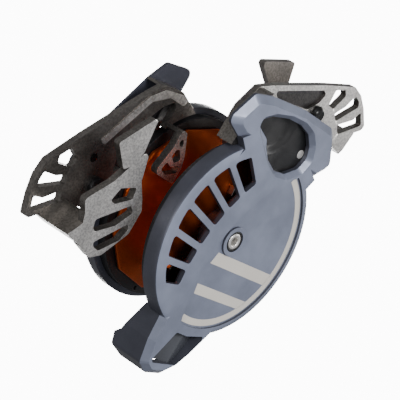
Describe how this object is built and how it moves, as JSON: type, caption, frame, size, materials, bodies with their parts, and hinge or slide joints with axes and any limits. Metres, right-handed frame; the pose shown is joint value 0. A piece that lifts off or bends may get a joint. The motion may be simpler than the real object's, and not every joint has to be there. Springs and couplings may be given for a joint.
{
  "type": "belay device",
  "caption": "Assisted-braking belay device for climbing rope: two side plates that pivot on a wheel axle, a grooved rope wheel and cast rope guides, swung open.",
  "frame": {"origin": "on the wheel axle's axis, at the rear side plate's outer face", "axes": "+Z along the axle from the rear plate to the front plate, +Y from the axle towards the front half's carabiner eye, +X to the right seen from the front"},
  "size_m": [0.1179, 0.1141, 0.036],
  "materials": {
    "anodised_plate": "blue-grey anodised and bead-blasted",
    "guide_steel": "cast stainless steel, tumbled, with bright worn edges",
    "dark_screw": "blackened steel",
    "black_rivet": "glossy black",
    "black_plastic": "moulded black, semi-matt",
    "tail_plastic": "moulded black, semi-matt",
    "bright_steel": "bright turned steel",
    "spring_steel": "bright spring wire",
    "black_ring": "black hard anodised",
    "pawl_steel": "sintered steel, bright",
    "washer_plastic": "grey acetal",
    "orange_wheel": "orange anodised",
    "bronze": "sintered bronze"
  },
  "bodies": {
    "rear_half": {"rear_side_plate": "anodised_plate", "rear_rope_guide": "guide_steel", "rear_guide_screws": "dark_screw", "rear_guide_rivet": "black_rivet", "rear_lever_pin": "bright_steel", "rear_lever_spring": "spring_steel", "rear_tail_grip": "tail_plastic", "rear_ratchet_ring": "black_ring", "rear_ring_screws": "dark_screw", "rear_thrust_washer": "washer_plastic", "axle": "bright_steel", "front_axle_collar": "black_ring", "rear_axle_collar": "black_ring"},
    "front_half": {"front_side_plate": "anodised_plate", "front_rope_guide": "guide_steel", "front_guide_screws": "dark_screw", "front_guide_rivet": "black_rivet", "front_lever_pin": "bright_steel", "front_lever_spring": "spring_steel", "front_tail_grip": "tail_plastic", "front_ratchet_ring": "black_ring", "front_ring_screws": "dark_screw", "front_thrust_washer": "washer_plastic"},
    "wheel": {"rope_wheel": "orange_wheel", "wheel_bush": "bronze", "pawl_pins": "bright_steel", "pawl_springs": "spring_steel"},
    "front_lever": {"front_eye_lever": "black_plastic"},
    "rear_lever": {"rear_eye_lever": "black_plastic"},
    "front_pawl_a": {"front_pawl_a": "pawl_steel"},
    "front_pawl_b": {"front_pawl_b": "pawl_steel"},
    "rear_pawl_a": {"rear_pawl_a": "pawl_steel"},
    "rear_pawl_b": {"rear_pawl_b": "pawl_steel"}
  },
  "joints": [
    {"name": "halves_open", "type": "hinge", "parent": "rear_half", "child": "front_half", "pos_m": [0, 0, 0.018], "axis": [0, 0, 1], "range_deg": [0, 75]},
    {"name": "wheel_spin", "type": "hinge", "parent": "rear_half", "child": "wheel", "pos_m": [0, 0, 0.018], "axis": [0, 0, 1], "continuous": true},
    {"name": "front_lever_swing", "type": "hinge", "parent": "front_half", "child": "front_lever", "pos_m": [0.0106, 0.035, 0.0307], "axis": [0, 0, 1], "range_deg": [-50, 0], "stiffness_Nm_per_rad": 0.01, "springref_deg": 17.19},
    {"name": "rear_lever_swing", "type": "hinge", "parent": "rear_half", "child": "rear_lever", "pos_m": [-0.03655, -0.00118, 0.0053], "axis": [0, 0, -1], "range_deg": [-50, 0], "stiffness_Nm_per_rad": 0.01, "springref_deg": 17.19},
    {"name": "front_pawl_a_throw", "type": "hinge", "parent": "wheel", "child": "front_pawl_a", "pos_m": [0, 0.0145, 0.0278], "axis": [0, 0, 1], "range_deg": [0, 33], "stiffness_Nm_per_rad": 0.002, "springref_deg": -17.19},
    {"name": "front_pawl_b_throw", "type": "hinge", "parent": "wheel", "child": "front_pawl_b", "pos_m": [0, -0.0145, 0.0278], "axis": [0, 0, 1], "range_deg": [0, 33], "stiffness_Nm_per_rad": 0.002, "springref_deg": -17.19},
    {"name": "rear_pawl_a_throw", "type": "hinge", "parent": "wheel", "child": "rear_pawl_a", "pos_m": [0, 0.0145, 0.0082], "axis": [0, 0, -1], "range_deg": [0, 33], "stiffness_Nm_per_rad": 0.002, "springref_deg": -17.19},
    {"name": "rear_pawl_b_throw", "type": "hinge", "parent": "wheel", "child": "rear_pawl_b", "pos_m": [0, -0.0145, 0.0082], "axis": [0, 0, -1], "range_deg": [0, 33], "stiffness_Nm_per_rad": 0.002, "springref_deg": -17.19}
  ]
}
